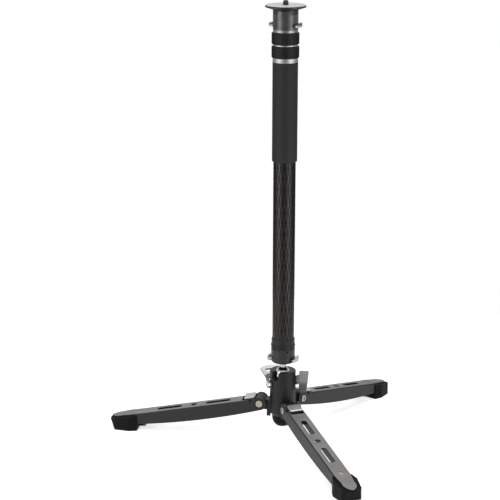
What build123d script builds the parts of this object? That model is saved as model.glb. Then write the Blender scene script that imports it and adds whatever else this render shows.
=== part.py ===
from build123d import *

import math
import os

# A three-section camera monopod on a three-legged base, in millimetres.
# +Z runs up the pole, the origin lies on the floor under it, and one leg points along -X.

# Clearances
running_gap = 0.05
slide_gap = 0.3
face_gap = 0.1
overrun = 6.0

# Directions around the pole, in degrees
leg_azimuths = {"left": 180.0, "front": 300.0, "right": 60.0}
knob_azimuth = 0.0
pedal_azimuth = 120.0
notch_azimuth = 240.0
latch_azimuths = {"front": -9.0, "back": 171.0}

# Ball, its neck and the housing that holds it
ball_radius = 14.6
ball_height = 110.4
socket_gap = 0.3
rim_rise = 8.2
rim_rounding = 1.6
rim_bevel = 0.8
housing_radius = 21.5
housing_bottom = 41.0
housing_taper_height = 6.0
housing_foot_radius = 18.3
seat_dish_gap = 0.1
seat_top_drop = 13.2
seat_height = 7.2
plug_height = 9.9
plug_key_width = 10.0
plug_key_depth = 3.0
notch_width = 12.6
neck_across_corners = 11.3
neck_reach = 22.2
neck_stud_radius = 4.0
neck_stud_length = 2.2

# Lock knob with its screw, washer and pad
knob_drop = 8.9
knob_boss_radius = 7.6
knob_boss_reach = 22.2
washer_radius = 7.5
washer_thickness = 1.3
knob_shoulder_reach = 4.0
knob_shoulder_radius = 5.8
knob_shoulder_lift = 4.6
knob_shoulder_top_radius = 4.6
knob_depth = 15.6
knob_hub_radius = 7.6
knob_top_lobe_reach = 11.6
knob_top_lobe_radius = 5.0
knob_low_lobe_reach = 15.4
knob_low_lobe_radius = 4.2
knob_face_slope = 3.5
knob_rounding = 1.4
lock_screw_radius = 3.0
lock_screw_inset = 3.0
pad_radius = 3.9
pad_back_reach = 18.6

# Foot pedal that straddles the housing
pedal_pivot_drop = 15.4
pedal_arm_gap = 0.4
pedal_thickness = 2.6
pedal_arm_radius = 5.5
pedal_start = 9.0
pedal_corner_reach = 55.0
pedal_tip_reach = 64.6
pedal_root_half_width = 24.5
pedal_tip_half_width = 19.0
pedal_root_rise = 7.2
pedal_slope = 4.3
pedal_cutout_radius = 23.3
pedal_slot_start = 38.5
pedal_slot_end = 49.7
pedal_slot_half_width = 13.0
pedal_slot_rounding = 2.0
pedal_boss_radius = 5.0
pedal_screw_radius = 2.0
pedal_shoulder_radius = 2.9
pedal_screw_inset = 5.0
pedal_head_radius = 5.6
pedal_head_thickness = 3.7
pedal_head_rounding = 1.2

# Rubber foot under the housing
centre_foot_radius = 17.4
centre_foot_bottom = 22.5
centre_foot_straight = 5.0
centre_foot_tip_radius = 10.5
centre_screw_radius = 3.0
centre_screw_length = 30.0
centre_head_radius = 5.0
centre_head_height = 3.2
centre_recess_radius = 6.0
centre_recess_depth = 6.0
hex_key_width = 3.0

# Leg hinge brackets
pivot_radius = 37.4
pivot_height = 61.0
bracket_half_width = 10.5
bracket_reach = 25.4
bracket_bottom = 39.5
bracket_top = 67.0
bracket_web_rise = 6.0
bracket_root = 17.0
knuckle_radius = 11.0
knuckle_half_width = 8.7
bracket_screw_radius = 2.0
bracket_screw_head_radius = 3.4
bracket_screw_head_height = 2.2
bracket_screw_height = 44.0
bracket_screw_offset = 5.6
bracket_screw_root = 14.0
bracket_rounding = 1.0

# Folding legs, measured along and across the leg from its pivot
leg_slope = 10.9
leg_top = 8.5
leg_half_width = 14.4
leg_wall = 2.2
leg_corner = 2.2
leg_end = 213.8
leg_mid_reach = 92.0
leg_mid_drop = 15.2
leg_end_drop = 9.4
cheek_radius = 11.3
cheek_boss_radius = 9.0
hinge_bolt_radius = 3.0
hinge_head_radius = 5.75
hinge_head_thickness = 2.1
cross_recess_length = 6.0
cross_recess_width = 1.3
cross_recess_depth = 1.2
leg_window_end = 29.0
leg_web_start = 35.0
leg_window_half_width = 11.4
leg_web = 2.5
leg_web_drop = 8.0
cheek_notch_start = 11.0
cheek_notch_end = 17.0
cheek_notch_depth = 5.0
slot_width = 10.0
inner_slot_start = 50.0
inner_slot_end = 93.0
leg_hole_reach = 114.0
leg_hole_radius = 5.0
outer_slot_start = 135.0
outer_slot_end = 178.0
foot_screw_inset = 4.4
foot_screw_head_radius = 4.3
tongue_shoulder_step = 2.7
tongue_shoulder_half_width = 13.0
tongue_taper_step = 22.2
tongue_taper_half_width = 10.5
tongue_bend_step = 37.7
tongue_bend_half_width = 7.4
tongue_tip_step = 43.8

# Release latch of each leg and its spring
latch_plate_start = 5.6
latch_plate_end = 24.0
latch_plate_half_width = 11.0
latch_plate_thickness = 4.6
latch_plate_lift = 0.3
latch_plate_rounding = 1.5
latch_stem_start = 13.0
latch_stem_end = 20.0
latch_stem_bottom = 1.0
latch_nose_rounding = 4.0
latch_travel = 6.0
latch_spring_radius = 2.2
latch_spring_wire = 0.8
latch_spring_height = 2.0

# Rubber feet of the legs, in distances from the pole and from the floor
foot_start = 246.5
foot_start_half_width = 16.3
foot_flare_step = 13.5
foot_flare_half_width = 20.3
foot_front_step = 25.0
foot_front_half_width = 16.5
foot_nose_step = 9.0
foot_nose_half_width = 9.5
foot_nose_drop = 41.0
foot_block_drop = 29.0
foot_rounding = 1.5
foot_tail_step = 8.5
foot_tail_half_width = 6.5
foot_tail_drop = 54.8
foot_tail_height = 8.0
foot_clip_step = 12.5
foot_clip_length = 12.0
foot_clip_half_width = 5.0
foot_clip_thickness = 1.6
foot_screw_radius = 2.0

# Quick-release socket, the same at both ends of the pole
socket_radius = 15.0
latch_cavity_radius = 17.6
latch_ring_radius = 15.4
latch_ring_width = 2.75
button_travel = 2.0
latch_ring_thickness = 1.7
latch_ring_gap = 0.2
tab_radius = 26.4
tab_half_angle = 34.0
tab_slot_half_angle = 40.0
tab_lip_drop = 1.8
tab_lip_rise = 3.4
tab_lip_width = 1.8
tab_hole_radius = 1.1
tab_hole_reach = 22.4
tab_grip_width = 3.2
tab_grip_height = 5.0
tab_window_rise = 3.6
cavity_half_height = 2.0
head_pocket_depth = 1.4
head_pocket_radius = 10.8
spigot_head_radius = 10.5
spigot_head_thickness = 1.0
spigot_head_top = 2.1
spigot_neck_radius = 8.8
spigot_shoulder_rise = 2.2
spring_offset = 13.8
spring_radius = 0.8
spring_bore = 0.45
spring_start_reach = 8.4
spring_end_reach = 11.6

# Release cup over the ball
cup_radius = 19.9
cup_length = 24.4
cup_rounding = 5.0
cup_chamfer = 0.5
cup_button_rise = 5.8
cup_pinhole_radius = 1.5
cup_pinhole_drop = 2.4
cup_pinhole_depth = 2.6
cup_pinhole_azimuth = -60.0

# Lower fitting of the pole: spigot, seal ring and end cap
spigot_groove_radius = 18.2
spigot_groove_height = 4.0
seal_ring_radius = 19.6
seal_ring_height = 1.3
cap_flange_radius = 20.1
cap_flange_height = 3.0
cap_radius = 19.2
cap_length = 11.0
cap_chamfer = 0.8
cap_floor = 2.0
cap_plug_height = 18.0
spigot_stud_radius = 4.0
spigot_stud_reach = 17.0

# Tubes
main_tube_radius = 18.0
main_tube_wall = 1.4
main_tube_length = 480.0
mid_tube_radius = 15.6
mid_tube_wall = 1.3
mid_tube_clearance = 22.0
inner_tube_radius = 13.2
inner_tube_wall = 1.2
inner_tube_clearance = 18.0
bush_length = 15.0
bush_inset = 2.0
bush_lip = 1.0

# Grip sleeve on the main tube
grip_radius = 20.3
grip_length = 160.4
grip_rounding = 1.8

# Twist locks
ring_socket_depth = 10.6
lower_ring_height = 7.1
lower_ring_radius = 20.3
ring_groove_width = 1.0
ring_groove_depth = 0.7
ring_chamfer = 0.4
thread_boss_radius = 19.0
thread_boss_height = 10.5
socket_lip = 0.45
nut_radius = 20.2
nut_length = 18.2
sleeve_radius = 22.0
sleeve_chamfer = 1.0
sleeve_rib_count = 44
sleeve_rib_depth = 0.55
sleeve_rib_width = 1.3
collet_height = 13.0
collet_wall = 1.9
collet_tip_wall = 0.8
collet_slots = 6
collet_slot_width = 1.0
middle_ring_height = 2.6
middle_ring_radius = 19.7
middle_socket_depth = 6.3
top_ring_height = 4.9
top_ring_radius = 19.7

# Top collar and camera platform
collar_radius = 20.2
collar_length = 29.4
collar_plug_length = 17.0
collar_plug_bore = 8.0
collar_button_rise = 6.6
collar_panel_depth = 0.6
collar_panel_bottom = 4.4
collar_panel_height = 14.0
collar_panel_azimuth = -94.7
collar_panel_half_angle = 36.5
dog_depth = 5.9
dog_azimuth = 328.0
dog_low_half_width = 8.1
dog_high_half_width = 11.4
dog_inner_radius = 17.0
dog_side_gap = 0.6
dog_count = 3
seam_gap = 0.7
skirt_height = 0.5
platform_root_radius = 20.6
platform_cone_height = 3.9
platform_rim_radius = 32.5
platform_disc_radius = 32.0
platform_disc_height = 3.3
platform_edge_chamfer = 0.5
stud_radius = 4.76
stud_reach = 6.3
stud_neck_radius = 3.9
stud_neck_height = 0.5
stud_tip_radius = 2.6
stud_tip_reach = 1.4
stud_root = 12.0
stud_root_radius = 3.5
stud_recess_radius = 5.6
stud_recess_depth = 0.8

# Places worked out from the sizes above
knob_height = ball_height - knob_drop
pedal_pivot_height = ball_height - pedal_pivot_drop
cavity_radius = ball_radius + socket_gap
housing_top = ball_height + rim_rise
seat_top = ball_height - seat_top_drop
seat_bottom = seat_top - seat_height
plug_bottom = seat_bottom - plug_height
cup_bottom = ball_height + neck_reach
cup_top = cup_bottom + cup_length
cup_button_height = cup_bottom + cup_button_rise
flange_bottom = cup_top + spigot_groove_height
flange_top = flange_bottom + cap_flange_height
cap_top = flange_top + cap_length
main_tube_bottom = flange_bottom + cap_floor
main_tube_top = main_tube_bottom + main_tube_length
lower_ring_bottom = main_tube_top - ring_socket_depth
lower_ring_top = lower_ring_bottom + lower_ring_height
lower_nut_bottom = lower_ring_top + slide_gap
lower_nut_top = lower_nut_bottom + nut_length
middle_ring_bottom = lower_nut_top + slide_gap
middle_ring_top = middle_ring_bottom + middle_ring_height
upper_nut_bottom = middle_ring_top + slide_gap
upper_nut_top = upper_nut_bottom + nut_length
top_ring_bottom = upper_nut_top + slide_gap
top_ring_top = top_ring_bottom + top_ring_height
collar_top = top_ring_top + collar_length
collar_button_height = top_ring_top + collar_button_rise
skirt_bottom = collar_top + seam_gap
platform_cone_bottom = skirt_bottom + skirt_height
platform_disc_bottom = platform_cone_bottom + platform_cone_height
platform_top = platform_disc_bottom + platform_disc_height
main_bore = main_tube_radius - main_tube_wall
mid_bore = mid_tube_radius - mid_tube_wall
inner_bore = inner_tube_radius - inner_tube_wall
mid_tube_bottom = main_tube_bottom + mid_tube_clearance
mid_tube_top = middle_ring_bottom + middle_socket_depth
inner_tube_bottom = mid_tube_bottom + inner_tube_clearance
foot_flare = foot_start + foot_flare_step
foot_front = foot_flare + foot_front_step
foot_nose = foot_front + foot_nose_step
foot_tail_start = foot_start - foot_tail_step
foot_clip_start = foot_start - foot_clip_step
foot_nose_height = pivot_height - foot_nose_drop
foot_block_height = pivot_height - foot_block_drop
foot_tail_bottom = pivot_height - foot_tail_drop
foot_screw_reach = leg_end - foot_screw_inset
tongue_shoulder = leg_end + tongue_shoulder_step
tongue_taper_reach = leg_end + tongue_taper_step
tongue_bend_reach = leg_end + tongue_bend_step
tongue_tip = leg_end + tongue_tip_step
pedal_arm_inner = housing_radius + pedal_arm_gap
pedal_arm_outer = pedal_arm_inner + pedal_thickness
bolt_reach = leg_half_width + face_gap

ON_BASE = (Align.CENTER, Align.CENTER, Align.MIN)


def disc(radius, bottom, top):
    """A solid cylinder about the pole, from one height to another."""
    return Pos(0, 0, bottom) * Cylinder(radius, top - bottom, align=ON_BASE)


def ring(outer, inner, bottom, top):
    """A tube about the pole."""
    return disc(outer, bottom, top) - disc(inner, bottom - overrun, top + overrun)


def cone(low_radius, high_radius, bottom, top):
    """A solid cone frustum about the pole."""
    return Pos(0, 0, bottom) * Cone(low_radius, high_radius, top - bottom, align=ON_BASE)


def turned(*points):
    """A solid turned about the pole from points of radius and height."""
    outline = make_face(Polyline(*points, close=True))
    return revolve(Plane.XZ * outline, Axis.Z, 360)


def bar(start, end, half_width, bottom, top):
    """A block from one place to another along X, centred on Y."""
    block = Box(
        end - start, half_width + half_width, top - bottom, align=(Align.MIN, Align.CENTER, Align.MIN)
    )
    return Pos(start, 0, bottom) * block


def along_x(radius, start, end, height):
    """A rod along X at a height."""
    return Pos(start, 0, height) * Rotation(0, 90, 0) * Cylinder(radius, end - start, align=ON_BASE)


def along_y(radius, start, end, x=0.0, height=0.0):
    """A rod along Y at a place in X and Z."""
    return Pos(x, start, height) * Rotation(-90, 0, 0) * Cylinder(radius, end - start, align=ON_BASE)


def sector(outer, inner, bottom, top, half_angle):
    """A piece of a ring, centred on +X."""
    reach = outer + overrun
    spread = reach * math.tan(math.radians(half_angle))
    outline = Polyline((0, 0), (reach, spread), (reach, -spread), close=True)
    wedge = Pos(0, 0, bottom) * extrude(make_face(outline), top - bottom)
    return ring(outer, inner, bottom, top) & wedge


def lug(outer, inner, bottom, top, low_half_width, high_half_width):
    """A piece of a ring, centred on +X, whose sides slope apart as they rise."""
    outline = Polyline(
        (low_half_width, bottom),
        (high_half_width, top),
        (-high_half_width, top),
        (-low_half_width, bottom),
        close=True,
    )
    return ring(outer, inner, bottom, top) & extrude(Plane.YZ * make_face(outline), outer + overrun)


def turn(azimuth, shape):
    """The same shape, turned about the pole."""
    return Rotation(0, 0, azimuth) * shape


def group(*shapes):
    """Separate solids kept together in one node."""
    return Compound(children=[solid for shape in shapes for solid in shape.solids()])


def round_edges(shape, radius, wanted):
    """Rounds the edges of a shape that a test picks."""
    return fillet([edge for edge in shape.edges() if wanted(edge)], radius)


# Base: housing, ball and what holds it
def ball_housing():
    body = turned(
        (0, housing_bottom),
        (housing_foot_radius, housing_bottom),
        (housing_radius, housing_bottom + housing_taper_height),
        (housing_radius, housing_top),
        (0, housing_top),
    )
    body = round_edges(
        body, rim_rounding, lambda e: e.center().Z > housing_top - face_gap and e.length > housing_radius
    )
    body += turn(knob_azimuth, along_x(knob_boss_radius, 0, knob_boss_reach, knob_height))
    for side in (1, -1):
        boss = along_y(pedal_boss_radius, 0, pedal_arm_inner - face_gap, 0, pedal_pivot_height)
        body += turn(pedal_azimuth, Rotation(0, 0, 90 - 90 * side) * boss)
    body -= Pos(0, 0, ball_height) * Sphere(cavity_radius)
    body -= disc(cavity_radius, plug_bottom, ball_height)
    mouth = math.sqrt(cavity_radius**2 - rim_rise**2)
    body -= cone(mouth - rim_bevel, mouth + rim_bevel, housing_top - rim_bevel, housing_top + rim_bevel)
    notch_reach = housing_radius + overrun
    notch = bar(0, notch_reach, notch_width / 2, ball_height, housing_top + overrun)
    notch += along_x(notch_width / 2, 0, notch_reach, ball_height)
    body -= turn(notch_azimuth, notch)
    screw_way = along_x(lock_screw_radius + running_gap, 0, knob_boss_reach + overrun, knob_height)
    screw_way += along_x(pad_radius + running_gap, 0, pad_back_reach + face_gap, knob_height)
    body -= turn(knob_azimuth, screw_way)
    for side in (1, -1):
        hole = along_y(
            pedal_screw_radius, pedal_arm_inner - pedal_screw_inset, pedal_arm_inner, 0, pedal_pivot_height
        )
        body -= turn(pedal_azimuth, Rotation(0, 0, 90 - 90 * side) * hole)
    screw_end = centre_foot_bottom + centre_recess_depth + centre_screw_length
    body -= disc(centre_screw_radius, housing_bottom - overrun, screw_end)
    for azimuth in leg_azimuths.values():
        for side in (1, -1):
            hole = along_x(bracket_screw_radius, bracket_screw_root, bracket_reach, bracket_screw_height)
            body -= turn(azimuth, Pos(0, side * bracket_screw_offset, 0) * hole)
    return body


def ball_cutter(gap):
    """The ball grown by a gap, for what sits against it."""
    return Pos(0, 0, ball_height) * Sphere(ball_radius + gap)


def pivot_ball():
    return Pos(0, 0, ball_height) * Sphere(ball_radius)


def ball_seat():
    return disc(cavity_radius - running_gap, seat_bottom, seat_top) - ball_cutter(seat_dish_gap)


def seat_plug():
    body = disc(cavity_radius, plug_bottom, seat_bottom)
    key = bar(
        -plug_key_width / 2, plug_key_width / 2, plug_key_depth / 2, plug_bottom, plug_bottom + plug_key_depth
    )
    return body - key


def clamp_pad():
    pad = along_x(pad_radius, 0, pad_back_reach, knob_height)
    pad -= disc(cavity_radius, 0, seat_top + slide_gap)
    ball_side = bar(-cavity_radius, 0, cavity_radius, 0, housing_top)
    return turn(knob_azimuth, pad - ball_cutter(seat_dish_gap) - ball_side)


def hex_neck():
    top = cup_bottom - face_gap
    hexagon = RegularPolygon(neck_across_corners / 2, 6)
    neck = extrude(Pos(0, 0, ball_height) * hexagon, top - ball_height)
    neck += disc(neck_stud_radius, top, cup_bottom + neck_stud_length)
    return turn(notch_azimuth, neck - ball_cutter(running_gap))


def hull_of(low, high):
    """A flat shape round two circles, each given as its height and radius, one above the other."""
    (low_y, low_radius), (high_y, high_radius) = low, high
    lean = math.asin((low_radius - high_radius) / (high_y - low_y))
    side = math.cos(lean)
    rise = math.sin(lean)
    corners = [
        (low_radius * side, low_y + low_radius * rise), (high_radius * side, high_y + high_radius * rise)
    ]
    corners += [(-x, y) for x, y in reversed(corners)]
    return make_face(Polyline(*corners, close=True)) + Pos(0, low_y) * Circle(low_radius) + Pos(
        0, high_y
    ) * Circle(high_radius)


def lock_knob():
    start = knob_boss_reach + washer_thickness + face_gap
    body_start = start + knob_shoulder_reach
    end = body_start + knob_depth
    hub = (0, knob_hub_radius)
    wing = hull_of(hub, (knob_top_lobe_reach, knob_top_lobe_radius))
    wing += hull_of((-knob_low_lobe_reach, knob_low_lobe_radius), hub)
    wing = extrude(
        Plane(origin=(body_start, 0, knob_height), x_dir=(0, 1, 0), z_dir=(1, 0, 0)) * wing, knob_depth
    )
    top = knob_height + knob_top_lobe_reach + knob_top_lobe_radius
    low = knob_height - knob_low_lobe_reach - knob_low_lobe_radius
    slope = make_face(
        Polyline(
            (end, top), (end + overrun, top), (end + overrun, low - overrun), (end - knob_face_slope, low),
            close=True
        )
    )
    wing -= extrude(Plane.XZ * slope, housing_radius, both=True)
    rims = [e for e in wing.edges() if abs(e.center().X - body_start) < face_gap]
    rims += [
        e for e in wing.edges() if e.center().X > end - knob_face_slope - knob_rounding and e not in rims
    ]
    wing = fillet(rims, knob_rounding)
    shoulder = hull_of((0, knob_shoulder_radius), (knob_shoulder_lift, knob_shoulder_top_radius))
    shoulder = extrude(
        Plane(origin=(start, 0, knob_height), x_dir=(0, 1, 0), z_dir=(1, 0, 0)) * shoulder,
        knob_shoulder_reach + knob_rounding,
    )
    knob = wing + shoulder
    knob -= along_x(lock_screw_radius, 0, end - lock_screw_inset, knob_height)
    return turn(knob_azimuth, knob)


def lock_screw():
    end = knob_boss_reach + washer_thickness + face_gap + knob_shoulder_reach + knob_depth - lock_screw_inset
    return turn(knob_azimuth, along_x(lock_screw_radius, pad_back_reach + face_gap, end, knob_height))


def knob_washer():
    outer = along_x(washer_radius, knob_boss_reach, knob_boss_reach + washer_thickness, knob_height)
    return turn(
        knob_azimuth, outer - along_x(lock_screw_radius + running_gap, 0, knob_boss_reach * 2, knob_height)
    )


def pedal():
    outline = Polyline(
        (pedal_start, -pedal_root_half_width),
        (pedal_corner_reach, -pedal_tip_half_width),
    )
    outline += ThreePointArc(
        (pedal_corner_reach, -pedal_tip_half_width), (pedal_tip_reach, 0),
        (pedal_corner_reach, pedal_tip_half_width)
    )
    outline += Polyline(
        (pedal_corner_reach, pedal_tip_half_width),
        (pedal_start, pedal_root_half_width),
        (pedal_start, -pedal_root_half_width),
    )
    plate = extrude(make_face(outline), pedal_thickness)
    slot_length = pedal_slot_end - pedal_slot_start
    slot = RectangleRounded(slot_length, pedal_slot_half_width * 2, pedal_slot_rounding)
    plate -= Pos(pedal_slot_start + slot_length / 2, 0, -overrun) * extrude(
        slot, pedal_thickness + overrun * 2
    )
    hinge_line = Pos(pedal_start, 0, pedal_pivot_height + pedal_root_rise - pedal_thickness)
    plate = hinge_line * Rotation(0, -pedal_slope, 0) * Pos(-pedal_start, 0, 0) * plate
    plate -= disc(pedal_cutout_radius, 0, ball_height + ball_radius)
    arm_end = pedal_start + pedal_arm_radius
    root_top = pedal_pivot_height + pedal_root_rise
    side = make_face(
        Polyline(
            (0, pedal_pivot_height + pedal_arm_radius),
            (pedal_start, root_top),
            (arm_end, root_top + pedal_arm_radius * math.tan(math.radians(pedal_slope))),
            (arm_end, root_top - pedal_thickness),
            (0, pedal_pivot_height - pedal_arm_radius),
            close=True,
        )
    )
    side += Pos(0, pedal_pivot_height) * Circle(pedal_arm_radius)
    arm = Pos(0, -pedal_arm_inner, 0) * extrude(Plane.XZ * side, pedal_thickness)
    bore = along_y(
        pedal_shoulder_radius + running_gap, -pedal_arm_outer - overrun, pedal_arm_outer + overrun, 0,
        pedal_pivot_height
    )
    return turn(pedal_azimuth, plate + arm + mirror(arm, Plane.XZ) - bore)


def pedal_screws():
    start = pedal_arm_inner - pedal_screw_inset
    shoulder_start = pedal_arm_inner - face_gap
    head_start = pedal_arm_outer + face_gap
    head_end = head_start + pedal_head_thickness
    screw = along_y(pedal_screw_radius, start, shoulder_start, 0, pedal_pivot_height)
    screw += along_y(pedal_shoulder_radius, shoulder_start, head_start, 0, pedal_pivot_height)
    head = along_y(pedal_head_radius, head_start, head_end, 0, pedal_pivot_height)
    head = round_edges(head, pedal_head_rounding, lambda e: e.center().Y > head_end - face_gap)
    screw += head
    socket = along_y(
        hex_key_width / 2, head_end - pedal_head_thickness / 2, head_end + overrun, 0, pedal_pivot_height
    )
    screw -= socket
    return group(*[turn(pedal_azimuth + 90 - 90 * side, screw) for side in (1, -1)])


def centre_foot():
    shoulder = housing_bottom - centre_foot_straight
    outline = Polyline((0, centre_foot_bottom), (centre_foot_tip_radius, centre_foot_bottom))
    bulge = (
        (centre_foot_tip_radius + centre_foot_radius) / 2 + centre_foot_straight / 4,
        (centre_foot_bottom + shoulder) / 2 - centre_foot_straight / 4,
    )
    outline += ThreePointArc(
        (centre_foot_tip_radius, centre_foot_bottom), bulge, (centre_foot_radius, shoulder)
    )
    outline += Polyline(
        (centre_foot_radius, shoulder), (centre_foot_radius, housing_bottom), (0, housing_bottom)
    )
    outline += Polyline((0, housing_bottom), (0, centre_foot_bottom))
    foot = revolve(Plane.XZ * make_face(outline), Axis.Z, 360)
    foot -= disc(centre_recess_radius, 0, centre_foot_bottom + centre_recess_depth)
    return foot - disc(centre_screw_radius, 0, housing_bottom + overrun)


def centre_foot_screw():
    seat = centre_foot_bottom + centre_recess_depth
    screw = disc(centre_head_radius, seat - centre_head_height, seat)
    screw += disc(centre_screw_radius, seat, seat + centre_screw_length)
    key = Pos(0, 0, seat - centre_head_height) * extrude(
        RegularPolygon(hex_key_width, 6), centre_head_height / 2
    )
    return screw - key


# Legs: everything is drawn along +X and turned to its place
def on_leg(shape):
    """Puts a shape drawn from the leg's pivot, along the leg, in its place over +X."""
    return Pos(pivot_radius, 0, pivot_height) * Rotation(0, leg_slope, 0) * shape


def leg_bracket():
    block = bar(bracket_root, bracket_reach, bracket_half_width, bracket_bottom, bracket_top)
    block = round_edges(
        block, bracket_rounding, lambda e: e.center().X > bracket_reach - face_gap
    )
    low = pivot_height - knuckle_radius
    block += bar(bracket_root, pivot_radius, knuckle_half_width, low, pivot_height + bracket_web_rise)
    block += along_y(knuckle_radius, -knuckle_half_width, knuckle_half_width, pivot_radius, pivot_height)
    block -= along_y(hinge_bolt_radius, -bolt_reach, bolt_reach, pivot_radius, pivot_height)
    block -= disc(housing_radius, bracket_bottom - overrun, bracket_top + overrun)
    head_seat = bracket_reach - bracket_screw_head_height
    for side in (1, -1):
        way = along_x(bracket_screw_radius, 0, bracket_reach + overrun, bracket_screw_height)
        way += along_x(bracket_screw_head_radius, head_seat, bracket_reach + overrun, bracket_screw_height)
        block -= Pos(0, side * bracket_screw_offset, 0) * way
    cone_part = disc(housing_radius, housing_bottom - overrun, bracket_bottom + overrun * 2)
    return block - cone_part


def bracket_screws():
    head_seat = bracket_reach - bracket_screw_head_height
    screw = along_x(bracket_screw_radius, bracket_screw_root, head_seat, bracket_screw_height)
    screw += along_x(bracket_screw_head_radius, head_seat, bracket_reach - face_gap, bracket_screw_height)
    screw -= along_x(
        hex_key_width / 2, bracket_reach - bracket_screw_head_height / 2, bracket_reach, bracket_screw_height
    )
    places = [(azimuth, side) for azimuth in leg_azimuths.values() for side in (1, -1)]
    return group(*[turn(azimuth, Pos(0, side * bracket_screw_offset, 0) * screw) for azimuth, side in places])


def leg_channel():
    deep = -leg_mid_drop - overrun
    section = Plane.YZ * Pos(0, (leg_top + deep) / 2) * Rectangle(leg_half_width * 2, leg_top - deep)
    channel = Pos(-cheek_radius, 0, 0) * extrude(section, leg_end + cheek_radius)
    channel = round_edges(
        channel, leg_corner, lambda e: e.center().Z > leg_top - face_gap and e.length > leg_end
    )
    flank = Polyline((0, -cheek_radius), (0, leg_top + cheek_radius), (leg_end, leg_top + cheek_radius))
    flank += Polyline((leg_end, leg_top + cheek_radius), (leg_end, -leg_end_drop))
    flank += ThreePointArc((leg_end, -leg_end_drop), (leg_mid_reach, -leg_mid_drop), (0, -cheek_radius))
    channel &= extrude(Plane.XZ * make_face(flank), leg_half_width * 2, both=True)
    channel += along_y(cheek_radius, -leg_half_width, leg_half_width)
    inner = leg_half_width - leg_wall
    channel -= bar(-cheek_radius * 2, leg_window_end, leg_window_half_width, deep * 2, leg_top + cheek_radius)
    channel -= bar(-cheek_radius * 2, leg_end + overrun, inner, deep * 2, leg_top - leg_wall)
    channel += bar(leg_web_start, leg_web_start + leg_web, inner, -leg_web_drop, leg_top - leg_wall)
    boss = along_y(cheek_boss_radius, knuckle_half_width + slide_gap, inner)
    channel += boss + mirror(boss, Plane.XZ)
    channel -= along_y(hinge_bolt_radius + running_gap, -leg_half_width * 2, leg_half_width * 2)
    notch = make_face(
        Polyline(
            (cheek_notch_start, leg_top + overrun),
            (cheek_notch_end, leg_top + overrun),
            (cheek_notch_end, leg_top),
            ((cheek_notch_start + cheek_notch_end) / 2, leg_top - cheek_notch_depth),
            (cheek_notch_start, leg_top),
            close=True,
        )
    )
    channel -= extrude(Plane.XZ * notch, leg_half_width * 2, both=True)
    tongue = Polyline(
        (leg_end - leg_web, tongue_shoulder_half_width), (tongue_shoulder, tongue_shoulder_half_width)
    )
    tongue += Polyline(
        (tongue_shoulder, tongue_shoulder_half_width), (tongue_taper_reach, tongue_taper_half_width)
    )
    tongue += ThreePointArc(
        (tongue_taper_reach, tongue_taper_half_width),
        (tongue_bend_reach, tongue_bend_half_width),
        (tongue_tip, 0),
    )
    tongue += mirror(tongue, Plane.XZ)
    tongue += Polyline(
        (leg_end - leg_web, -tongue_shoulder_half_width), (leg_end - leg_web, tongue_shoulder_half_width)
    )
    channel += Pos(0, 0, leg_top - leg_wall) * extrude(make_face(tongue), leg_wall)
    depth = leg_wall + overrun
    for start, end in ((inner_slot_start, inner_slot_end), (outer_slot_start, outer_slot_end)):
        slot = extrude(SlotOverall(end - start, slot_width), depth * 2)
        channel -= Pos((start + end) / 2, 0, leg_top - depth) * slot
    channel -= Pos(leg_hole_reach, 0, leg_top - depth) * Cylinder(leg_hole_radius, depth * 2, align=ON_BASE)
    screw_hole = Cylinder(foot_screw_head_radius + running_gap, depth * 2, align=ON_BASE)
    channel -= Pos(foot_screw_reach, 0, leg_top - depth) * screw_hole
    return channel


def foot_screw_axis(shape):
    """Puts a shape drawn about Z at the foot's fixing hole, square to the leg's top."""
    return on_leg(Pos(foot_screw_reach, 0, 0) * shape)


def rubber_foot():
    points = [(foot_start, foot_start_half_width), (foot_flare, foot_flare_half_width)]
    points += [(foot_front, foot_front_half_width), (foot_nose, foot_nose_half_width)]
    points += [(x, -y) for x, y in reversed(points)]
    block = extrude(make_face(Polyline(*points, close=True)), foot_block_height)
    block = fillet(block.edges().filter_by(Axis.Z), foot_rounding)
    front = make_face(
        Polyline(
            (foot_front, 0),
            (foot_nose, foot_nose_height),
            (foot_nose + overrun, foot_nose_height),
            (foot_nose + overrun, 0),
            close=True,
        )
    )
    block -= extrude(Plane.XZ * front, foot_flare_half_width * 2, both=True)
    block += bar(
        foot_tail_start, foot_start + overrun, foot_tail_half_width, foot_tail_bottom,
        foot_tail_bottom + foot_tail_height
    )
    under_tongue = bar(
        0, tongue_tip * 2, foot_flare_half_width * 2, leg_top - leg_wall, foot_block_height * 2
    )
    block -= on_leg(under_tongue)
    block -= foot_screw_axis(
        Pos(0, 0, -pivot_height) * Cylinder(foot_screw_radius, pivot_height * 2, align=ON_BASE)
    )
    return block - on_leg(leg_channel())


def foot_fixing():
    """The screw that holds the rubber foot, and the plate under its tail."""
    head_top = leg_top - slide_gap
    head = Pos(0, 0, leg_top - leg_wall) * Cylinder(
        foot_screw_head_radius, head_top - leg_top + leg_wall, align=ON_BASE
    )
    shank_length = pivot_height
    shank = Pos(0, 0, leg_top - leg_wall - shank_length) * Cylinder(
        foot_screw_radius, shank_length, align=ON_BASE
    )
    screw = foot_screw_axis(head + shank)
    clip_top = foot_tail_bottom
    screw -= bar(0, foot_nose, foot_flare_half_width, -pivot_height, clip_top - foot_clip_thickness)
    clip = bar(
        foot_clip_start, foot_clip_start + foot_clip_length, foot_clip_half_width,
        clip_top - foot_clip_thickness, clip_top
    )
    clip -= foot_screw_axis(
        Pos(0, 0, -pivot_height) * Cylinder(foot_screw_radius, pivot_height * 2, align=ON_BASE)
    )
    return group(screw, clip)


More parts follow.
